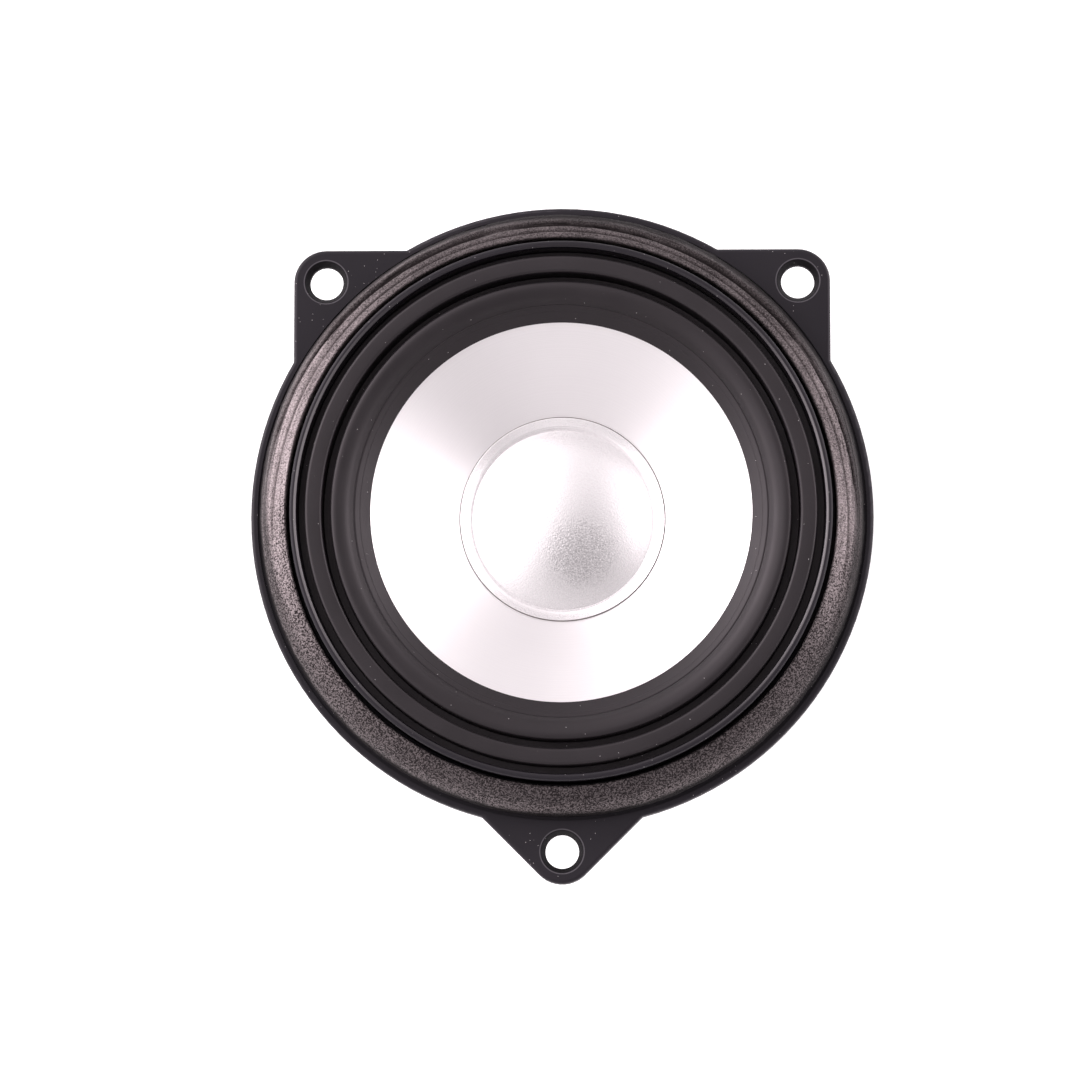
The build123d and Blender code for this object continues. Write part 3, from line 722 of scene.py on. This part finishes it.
def makeGasket(made):
    # an upright wall, then a cubic curve over the shoulder to the inner edge; grain and two pressed
    # grooves stand along the normal. The grooves run where the panel presses, over the upper half, and
    # drift outwards away from the top
    s = dict(inner=44.7, outer=49.3, floor=2.4, shoulder=6.1, top=11.2, steps=1150, pressAngle=86.0,
             hull=((49.18, 6.1), (49.0, 8.3), (47.4, 10.1), (44.92, 11.25)), grooveDepth=0.62, fineDepth=0.2,
             innerTone=(0.75, [(172, 34, 3.2), (2, 25, 2.3), (90, 45, 0.10), (285, 40, -0.30)]),
             outerTone=(1.15, [(10, 50, -0.98), (90, 45, -0.62), (180, 40, -0.22)]))
    t = np.linspace(0, 1, 52)[:, None]
    hull = [np.array(point) for point in s["hull"]]
    shoulder = ((1 - t) ** 3 * hull[0] + 3 * t * (1 - t) ** 2 * hull[1] + 3 * t**2 * (1 - t) * hull[2]
                + t**3 * hull[3])
    innerWall = np.array([[s["inner"] + 0.08, s["top"] - 0.09], [s["inner"], s["top"] - 0.3]])
    innerLow = np.stack([np.full(7, s["inner"]), np.linspace(s["top"] - 0.8, s["floor"], 7)], 1)
    outerLow = np.stack([np.full(9, s["outer"]), np.linspace(s["floor"], s["shoulder"] - 0.3, 9)], 1)
    outline = np.concatenate([outerLow, shoulder, innerWall, innerLow])
    skin = {}

    def wave(radius, height, angle):
        rows, steps = radius.shape
        along = np.roll(outline, -1, 0) - np.roll(outline, 1, 0)
        normal = np.stack([along[:, 1], -along[:, 0]], 1) / np.linalg.norm(along, axis=1)[:, None]
        free = np.clip((outline[:, 1] - s["floor"]) / 1.0, 0, 1)[:, None]
        sides = np.where(outline[:, 0:1] <= s["inner"] + 0.01, 0.3, 1.0)
        fine = smoothNoise(rows, steps, 0.8, 0.8, 3)
        lumps = smoothNoise(rows, steps, 4, 4, 4)
        slow = smoothNoise(rows, steps, 9, 40, 5)
        breaks = smoothNoise(1, steps, 1, 9, 6)
        streaks = smoothNoise(rows, steps, 0.7, 16, 7)
        folds = smoothNoise(rows, steps, 1.1, 8, 8)
        away = np.degrees(np.arccos(np.cos(angle - math.radians(s["pressAngle"]))))[None, :]
        drift = (1 - np.cos(np.radians(away))) ** 2
        r = outline[:, 0:1]
        upper = np.clip((outline[:, 1:2] - s["shoulder"] + 0.2) / 0.6, 0, 1)

        def fade(last, soft):
            return 0.5 - 0.5 * np.tanh((away - last) / soft)

        wide = np.exp(-np.abs((r - 47.34 - 0.9 * drift - 0.05 * slow) / (0.14 + 0.26 * fade(52, 12))) ** 3)
        wide = wide * fade(80, 5) * (0.72 + 0.28 * np.tanh(2 * breaks + 2.2))
        thin = np.exp(-((r - 45.88 - 0.9 * drift - 0.03 * slow) / 0.17) ** 2) * fade(98, 5)
        outer = np.exp(-((r - 48.75 - 0.25 * slow) / 0.12) ** 2) * np.exp(-((away - 78) / 22) ** 2)
        pressed = fade(108 + 5 * slow, 9) * upper
        pockets = np.clip((folds - 0.9) / 0.5, 0, 1) * np.exp(-(((r - 47.5) / 0.75) ** 2)) * fade(82, 8)
        grooves = s["grooveDepth"] * wide + s["fineDepth"] * thin + 0.08 * outer + 0.16 * pockets
        rough = 0.02 * fine + 0.035 * lumps
        lift = free * sides * (rough * (1 - 0.5 * pressed) + 0.05 * slow) - free * upper * grooves
        # groove depth, which also sets the painted shade in the grooves
        depth = np.clip(1.0 * wide + 0.7 * thin + 0.4 * outer + 0.75 * pockets, 0, 1)
        # painted shade on the outer wall, up to a height that is greatest at the top
        wallTop = s["shoulder"] + 0.6 + 1.3 * np.exp(-((away / 50) ** 2))
        wall = 1 - np.clip((outline[:, 1:2] - wallTop) / 1.1, 0, 1)

        def patches(base, spots):
            # a base plus soft spots round the ring, each at an angle, with a width in degrees and a strength
            total = base + 0 * angle[None, :]
            for at, width, gain in spots:
                turned = np.degrees(np.arccos(np.cos(angle - math.radians(at))))[None, :]
                total = total + gain * np.exp(-((turned / width) ** 2))
            return total

        # painted light and shade: inner band lighter at left and right, outer band darker at right, top and
        # left
        inner, outside = patches(*s["innerTone"]), patches(*s["outerTone"])
        share = np.clip((r - 46.9) / 1.4, 0, 1)
        tone = inner + (outside - inner) * share * share * (3 - 2 * share)
        tone = np.clip(tone * (1 + (0.10 + 0.26 * share) * fade(115, 12) * streaks), 0.1, 4)
        skin["map"] = np.stack([pressed, depth * upper, wall, tone / 4], -1)
        return radius + normal[:, 0:1] * lift, height + normal[:, 1:2] * lift

    piece = lathe("gasketRing", outline, s["steps"], made, "basket", ("front_gasket",), wave=wave, sharp=180)
    paint = piece.data.attributes.new("foamMap", "FLOAT_COLOR", "POINT")
    paint.data.foreach_set("color", skin["map"].astype(np.float32).ravel())
    return piece


# spider, leads and coil, which show from the sides and through the windows

spiderSizes = dict(neck=13.25, neckTop=-8.47, plane=-10.17, waveStart=14.3, waveEnd=25.1, outer=28.4,
                   crests=4.5, swing=0.66, thickness=0.4)


def makeSpider(made):
    # a short neck, then height = plane + swing * sine of the distance out, then a flat glued flange
    s = spiderSizes
    r = np.linspace(s["waveStart"], s["waveEnd"], 110)
    share = (r - s["waveStart"]) / (s["waveEnd"] - s["waveStart"])
    ends = np.clip(np.minimum(share, 1 - share) / 0.06, 0, 1)
    wave = s["plane"] + s["swing"] * ends * np.sin(2 * np.pi * s["crests"] * share)
    neck = rounded([(s["neck"], s["neckTop"]), (s["neck"], s["plane"]), (s["waveStart"], s["plane"])],
                   [0, 0.6, 0], closed=False, steps=9)
    flange = np.stack([np.linspace(s["waveEnd"], s["outer"], 10), np.full(10, s["plane"])], 1)
    middle = np.concatenate([neck[:-1], np.stack([r, wave], 1), flange[1:]])
    piece = lathe("spiderDisc", thickened(middle, s["thickness"] / 2), 300, made, None, sharp=60)
    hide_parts("spider")
    flexBetween(piece)


leadSizes = dict(radius=0.5, strands=4, pitch=3.2, relief=0.13, aroundSteps=32, alongStep=0.09,
                 lug=(6.0, 42.1, -4.0), turn=(11.0, 42.1, -4.0), bend=(14.6, 33.6, -4.4),
                 approach=(12.97, 22.57, -5.37), pad=(6.305, 11.858, -7.37), bendShare=0.45)


def leadPath(side):
    # straight runs whose corners are quadratic curves, then points at an even step along them
    s = leadSizes
    corners = np.array([s[key] for key in ("lug", "turn", "bend", "approach", "pad")]) * [side, 1, 1]
    runs = np.linalg.norm(np.diff(corners, axis=0), axis=1)
    cut = s["bendShare"] * np.minimum(runs[:-1], runs[1:])
    back = (corners[:-2] - corners[1:-1]) / runs[:-1, None]
    ahead = (corners[2:] - corners[1:-1]) / runs[1:, None]
    t = np.linspace(0, 1, 24)[None, :, None]
    first, last = corners[1:-1] + back * cut[:, None], corners[1:-1] + ahead * cut[:, None]
    curve = (1 - t) ** 2 * first[:, None] + 2 * t * (1 - t) * corners[1:-1][:, None] + t**2 * last[:, None]
    line = np.concatenate([corners[:1], curve.reshape(-1, 3), corners[-1:]])
    length = np.concatenate([[0], np.cumsum(np.linalg.norm(np.diff(line, axis=0), axis=1))])
    at = np.linspace(0, length[-1], round(length[-1] / s["alongStep"]))
    return np.stack([np.interp(at, length, line[:, k]) for k in range(3)], 1), at


def makeLead(made, side, name, node):
    # a tube about the path whose radius swells where two sets of strands, wound left and right, pass
    s = leadSizes
    path, at = leadPath(side)
    along = np.gradient(path, axis=0)
    along /= np.linalg.norm(along, axis=1)[:, None]
    across = np.cross([0, 0, 1], along)
    across /= np.linalg.norm(across, axis=1)[:, None]
    up = np.cross(along, across)
    angle = np.arange(s["aroundSteps"]) * 2 * np.pi / s["aroundSteps"]
    twist = 2 * np.pi * at[:, None] / s["pitch"]
    left = np.abs(np.sin((s["strands"] * angle + twist) / 2))
    right = np.abs(np.sin((s["strands"] * angle - twist) / 2))
    braid = np.maximum(left, right) ** 0.8
    radius = s["radius"] * (1 - s["relief"] + s["relief"] * braid) + 0 * angle
    ends = np.minimum(at - at[0], at[-1] - at)[:, None]
    radius = radius * np.sqrt(np.clip(ends / 0.25, 0, 1))
    points = (path[:, None] + radius[..., None] * (np.cos(angle)[None, :, None] * across[:, None]
              + np.sin(angle)[None, :, None] * up[:, None])).reshape(-1, 3) * mm
    piece = buildMesh(name, points, gridFaces(len(path), s["aroundSteps"], False, True))
    paint = piece.data.attributes.new("braid", "FLOAT", "POINT")
    paint.data.foreach_set("value", braid.astype(np.float32).ravel())
    finished(piece, made, None)
    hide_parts(node)
    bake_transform(piece)


def makeBlob(name, made, body, centre, size, seed):
    # a ball of solder: a sphere stretched to three half sizes, with its radius softly uneven
    rows, steps = 24, 40
    theta = np.linspace(0, np.pi, rows + 2)[1:-1, None]
    phi = (np.arange(steps) * 2 * np.pi / steps)[None, :]
    uneven = 1 + 0.05 * np.sin(2 * phi + seed) * np.sin(theta) + 0.04 * np.cos(3 * theta + seed)
    shell = np.stack([uneven * np.sin(theta) * np.cos(phi), uneven * np.sin(theta) * np.sin(phi),
                      uneven * np.cos(theta) + 0 * phi], -1).reshape(-1, 3)
    poles = np.array([[0, 0, 1.0], [0, 0, -1.0]])
    points = (np.concatenate([shell, poles]) * size + centre) * mm
    near = np.arange(steps)
    far = near + (rows - 1) * steps
    first = np.stack([np.full(steps, rows * steps), near, np.roll(near, -1)], -1)
    last = np.stack([np.full(steps, rows * steps + 1), np.roll(far, -1), far], -1)
    piece = buildMesh(name, points, gridFaces(rows, steps, False, True), np.concatenate([first, last]))
    return finished(piece, made, body)


def makeWinding(made):
    # wire turns as a row of half circles down the outside of the former
    s = dict(inner=12.9, outer=13.45, low=-23.5, high=-14.5, turns=36)
    turn = (s["high"] - s["low"]) / s["turns"]
    t = np.linspace(0, np.pi, 7)[:-1]
    bump = np.stack([s["outer"] - turn / 2 + turn / 2 * np.sin(t), -turn / 2 * np.cos(t)], 1)
    low = s["low"] + turn / 2 + turn * np.arange(s["turns"])
    outside = (bump[None] + np.stack([0 * low, low], 1)[:, None]).reshape(-1, 2)
    inside = [[s["outer"] - turn / 2, s["high"]], [s["inner"], s["high"]], [s["inner"], s["low"]]]
    outline = np.concatenate([outside, inside])
    return lathe("windingTurns", outline, 160, made, "cone", ("voice_coil_winding",))


def makeBead(name, made, body, corners, seed, cut=0.12, steps=240, swing=0.06):
    # a ring of glue with a soft outline that swells and thins a little on its way round
    outline = rounded(corners, cut, steps=4)
    centre = outline.mean(0)

    def wave(radius, height, angle):
        uneven = 1 + swing * smoothNoise(1, len(angle), 1, 7, seed)
        return centre[0] + (radius - centre[0]) * uneven, centre[1] + (height - centre[1]) * uneven

    return lathe(name, outline, steps, made, body, wave=wave, sharp=180)


makeCamera()
makeStudio()
print("camera and light ready")

plastic = mouldedPlastic()
dressNode("basket", plastic)
makeSurround(surroundRubber())
makeGasket(gasketFoam())
makeCone(spunAluminium())
makeDustCap(blastedAluminium())
makeCapGlue(plainFinish("seamGlue", (0.06, 0.05, 0.045), (0.16, 0.14, 0.13), 0.5, 0.0, 1800))
print("front pieces ready")

steel = platedSteel("platedSteel", (0.46, 0.455, 0.44), 0.30)
for node in ("top_plate", "back_plate", "pole_piece"):
    dressNode(node, steel)
dressNode("magnet_ring", ferrite())
dressNode("basket_screws", platedSteel("screwSteel", (0.55, 0.53, 0.48), 0.28))
dressNode("terminal_screw", platedSteel("screwSteelSmall", (0.55, 0.53, 0.48), 0.28))
dressNode("terminal_block", plainFinish("blockPhenolic", (0.020, 0.010, 0.006), (0.035, 0.018, 0.010), 0.45))
for node in ("terminal_blade_positive", "terminal_blade_negative"):
    dressNode(node, plainFinish(node + "Metal", (0.48, 0.41, 0.27), (0.56, 0.49, 0.35), 0.28, 1.0))
braid = braidedCopper()
solder = plainFinish("leadSolder", (0.52, 0.52, 0.54), (0.68, 0.68, 0.70), 0.28, 1.0)
for side, sign in ((1, "positive"), (-1, "negative")):
    makeLead(braid, side, sign + "Lead", "tinsel_lead_" + sign)
    makeBlob(sign + "LugSolder", solder, "basket", (side * 6.4, 42.1, -4.0), (1.15, 0.85, 0.8), side)
    makeBlob(sign + "CoilSolder", solder, "cone", (side * 6.35, 11.95, -7.37), (0.9, 0.7, 0.75), side + 2)
dressNode("coil_lead_pads", plainFinish("padSolder", (0.52, 0.52, 0.54), (0.68, 0.68, 0.70), 0.3, 1.0))
dressNode("voice_coil_former", plainFinish("formerFilm", (0.30, 0.13, 0.02), (0.36, 0.17, 0.03), 0.3))
makeWinding(plainFinish("windingCopper", (0.35, 0.10, 0.04), (0.50, 0.18, 0.07), 0.3, 0.8))
dressNode("former_wrap", plainFinish("wrapPaper", (0.34, 0.24, 0.13), (0.42, 0.31, 0.18), 0.8))
makeSpider(spiderCloth())
amber = plainFinish("amberGlue", (0.16, 0.055, 0.008), (0.24, 0.09, 0.014), 0.22, 0.0, 500)
darkGlue = plainFinish("darkGlue", (0.016, 0.015, 0.015), (0.03, 0.028, 0.028), 0.3, 0.0, 500)
makeBead("spiderNeckGlue", amber, "cone",
         [(13.05, -8.2), (13.5, -8.32), (13.95, -9.1), (13.45, -9.0), (13.05, -8.5)], 11)
makeBead("coneNeckGlue", amber, "cone",
         [(12.95, -6.15), (13.4, -6.1), (13.7, -5.55), (13.3, -5.6), (13.25, -6.3)], 12)
makeBead("ledgeGlue", amber, "basket",
         [(28.2, -10.42), (28.25, -10.1), (28.75, -9.95), (29.0, -10.42)], 13)
makeBead("frontPlateGlue", darkGlue, "basket",
         [(27.4, -21.02), (27.45, -20.5), (27.85, -20.72), (28.2, -21.02)], 14)
makeBead("rearPlateGlue", darkGlue, "basket",
         [(27.9, -29.48), (28.35, -29.48), (28.3, -29.75), (27.95, -30.0)], 15)
print("rear pieces ready")

floorMaterial = plainFinish("paleFloor", (0.86, 0.86, 0.865), (0.88, 0.88, 0.885), 0.7, 0.0, 40, 0.00001)
floorShader = next(n for n in floorMaterial.node_tree.nodes if n.type == "BSDF_PRINCIPLED")
setAll(floorShader, {"Emission Color": (1, 1, 1, 1), "Emission Strength": floorShade["glow"]})
shadeUnder(floorMaterial.node_tree, floorShader)
floorMesh = bpy.data.meshes.new("floor")
low = cadBox[0][2]
half = 4.0
floorMesh.from_pydata([(-half, -half, low), (half, -half, low), (half, half, low), (-half, half, low)], [],
                      [(0, 1, 2, 3)])
floorPiece = bpy.data.objects.new("floor", floorMesh)
floorMesh.materials.append(floorMaterial)
bpy.context.scene.collection.objects.link(floorPiece)
